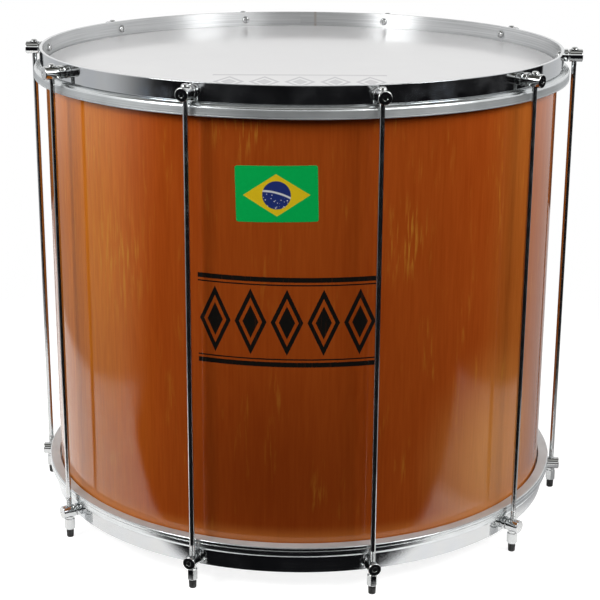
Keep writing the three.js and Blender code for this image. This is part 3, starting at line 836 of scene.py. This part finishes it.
def beyond(tree, place, through, towards, softness, fan=False):
    """1 past a straight line on the floor, 0 before it: the distance along `towards` from a point, softened. In a fan
    the distance is divided by the distance from that point, so that the edge is the softer the further off it is."""
    towards = Vector(towards).normalized()
    rest = add(tree, "VectorMath", place, (*through, 0.0), operation="SUBTRACT")
    along = add(tree, "VectorMath", rest, (*towards, 0.0), operation="DOT_PRODUCT")
    if fan:
        along = add(tree, "Math", along, add(tree, "VectorMath", rest, operation="LENGTH"), operation="DIVIDE")
    return add(tree, "MapRange", along, From_Min=-softness, From_Max=softness, interpolation_type="SMOOTHSTEP")


def black_floor(tree, place):
    """Just before the drum's front, and out to the right."""
    front = add(tree, "Math", beyond(tree, place, (-0.18, -0.287), (-0.038, -1.0), 0.015),
                beyond(tree, place, (0.13, -0.307), (-0.11, -0.994), 0.02), operation="MULTIPLY")
    front = add(tree, "Math", front, beyond(tree, place, (-0.45, -0.24), (0.259, -0.966), 0.34, fan=True),
                operation="MULTIPLY")
    right = add(tree, "Math", beyond(tree, place, (0.715, -0.14), (0.98, 0.2), 0.04),
                beyond(tree, place, (0.62, 0.12), (0.58, -0.81), 0.06), operation="MULTIPLY")
    return add(tree, "Math", front, right, operation="MAXIMUM")


def left_floor(tree, place):
    """Past a line along the drum's left."""
    return beyond(tree, place, (-0.73, 0.0), (-1.0, 0.0), 0.04)


def right_floor(tree, place):
    """Past a line along the drum's right."""
    return beyond(tree, place, (0.27, 0.0), (1.0, 0.25), 0.03)


def far_floor(tree, place):
    """From 1.5 m off, in full at 3 m."""
    away = add(tree, "VectorMath", place, operation="LENGTH")
    return add(tree, "MapRange", away, From_Min=1.5, From_Max=3.0, interpolation_type="SMOOTHSTEP")


def level_card(x0, y0, x1, y1, level):
    """The corners of a level rectangle in metres."""
    return [(x0, y0, level), (x1, y0, level), (x1, y1, level), (x0, y1, level)]


# Cards that only mirrors see: a black floor before the drum and to its right, grey floor further off, a black wall
# behind the camera and a dark ceiling. Each is (name, even tone, corners, how much of it there is at a place)
CARDS = [
    ("left_floor", "#919193", level_card(-9, -9, 1, 9, 0.0006), left_floor),
    ("right_floor", "#B5B5B6", level_card(0, -9, 9, 9, 0.0004), right_floor),
    ("far_floor", "#D6D7D9", level_card(-9, -9, 9, 9, 0.0008), far_floor),
    ("black_floor", "#141416", level_card(-6, -9, 9, 4, 0.0012), black_floor),
    ("black_floor_behind", "#202124", [(-1.4, 1.3, 0.0012), (-2.4, 5, 0.0012), (2.2, 5, 0.0012), (1.0, 1.3, 0.0012)],
     None),
    ("black_wall", "#1A1A1C", [(-6, -4.5, 0), (6, -4.5, 0), (6, -4.5, 1.3), (-6, -4.5, 1.3)], None),
    ("dark_ceiling", "#55544F", level_card(-3.5, -4.5, 3.5, 1.0, 3.0), None),
    ("ceiling_panel", "#D8D8D6", level_card(-2.5, -1.7, 2.5, -0.7, 2.99), None),
]

# Soft lamps turned to the drum's middle: (name, place, side in metres, watts, whether the metal mirrors it)
LAMPS_AIM = (0.0, 0.0, 0.3)
LAMPS = [
    ("left_front", (-1.0, -0.82, 1.0), 0.5, 7.6, True),
    ("right_front", (1.0, -0.75, 1.0), 0.45, 5.0, True),
    ("near_front", (0.66, -1.16, 1.0), 0.4, 1.8, True),
    ("left", (-1.2, -0.25, 1.0), 0.6, 4.6, False),
    ("right", (1.25, -0.25, 1.0), 0.7, 5.5, False),
    ("front", (-0.1, -1.15, 1.0), 0.5, 0.6, False),
    ("top", (0.0, -0.2, 2.4), 1.2, 10.0, False),
    ("behind", (0.5, 1.9, 1.4), 1.0, 12.0, False),
]


def card(name, code, corners, edges):
    """A studio card of an even tone that only mirrors see."""
    material, tree = bare_tree(name + "_card")
    shader = add(tree, "Emission", Color=linear(code))
    if edges:
        share = edges(tree, add(tree, "TexCoord", out="Object"))
        shader = add(tree, "MixShader", share, add(tree, "BsdfTransparent"), shader)
    add(tree, "OutputMaterial", shader)
    material.cycles.emission_sampling = "NONE"
    sheet = flat_sheet(name, corners, material)
    sheet.visible_camera = sheet.visible_diffuse = sheet.visible_shadow = False
    sheet.visible_transmission = sheet.visible_volume_scatter = False


def softbox(name, place, size, power, mirrored):
    """A soft square area lamp; the metal mirrors it or not."""
    lamp = bpy.data.lights.new(name, "AREA")
    lamp.shape, lamp.size, lamp.energy = "SQUARE", size, power
    holder = placed(name, lamp)
    holder.location = place
    holder.rotation_euler = (Vector(LAMPS_AIM) - Vector(place)).to_track_quat("-Z", "Y").to_euler()
    holder.visible_camera, holder.visible_glossy = False, mirrored


def studio_air():
    """A white background for what the camera, mirrors and glass see, and a plain dimmer light from all round."""
    dim = 0.03
    world = bpy.data.worlds.new("studio")
    bpy.context.scene.world = world
    world.use_nodes = True
    tree = world.node_tree
    level = add(tree, "MapRange", seen_directly(tree), To_Min=dim, To_Max=1.0)
    feed(tree.nodes["Background"], Color=linear("#FFFFFF"), Strength=level)


pale_floor()
for name, code, corners, edges in CARDS:
    card(name, code, corners, edges)
studio_air()
for name, place, size, power, mirrored in LAMPS:
    softbox("softbox_" + name, place, size, power, mirrored)


# ---------------- camera

def camera():
    """A long lens from the front, found from the drum's own sizes in the photograph. The axes are worked out from the
    heading (towards +X), the look down and the slight turn of the picture, in radians."""
    heading, down, turn = 0.00648, 0.30095, 0.00639
    place, focal_length, sensor, nearest, furthest = (-0.011428, -1.732719, 0.761876), 93.996, 36.0, 0.05, 50.0
    right = Vector((math.cos(heading), -math.sin(heading), 0))
    level = Vector((math.sin(heading), math.cos(heading), 0))
    back = Vector((0, 0, math.sin(down))) - level * math.cos(down)
    up = Vector((0, 0, math.cos(down))) + level * math.sin(down)
    right, up = right + up * turn, up - right * turn
    axes = Matrix((right.normalized(), up.normalized(), back.normalized())).transposed().to_4x4()
    lens = bpy.data.cameras.new("camera")
    lens.sensor_width, lens.lens = sensor, focal_length
    lens.clip_start, lens.clip_end = nearest, furthest
    holder = placed("camera", lens)
    holder.matrix_world = Matrix.Translation(place) @ axes
    bpy.context.scene.camera = holder


camera()
bpy.context.scene.view_settings.view_transform = "Standard"
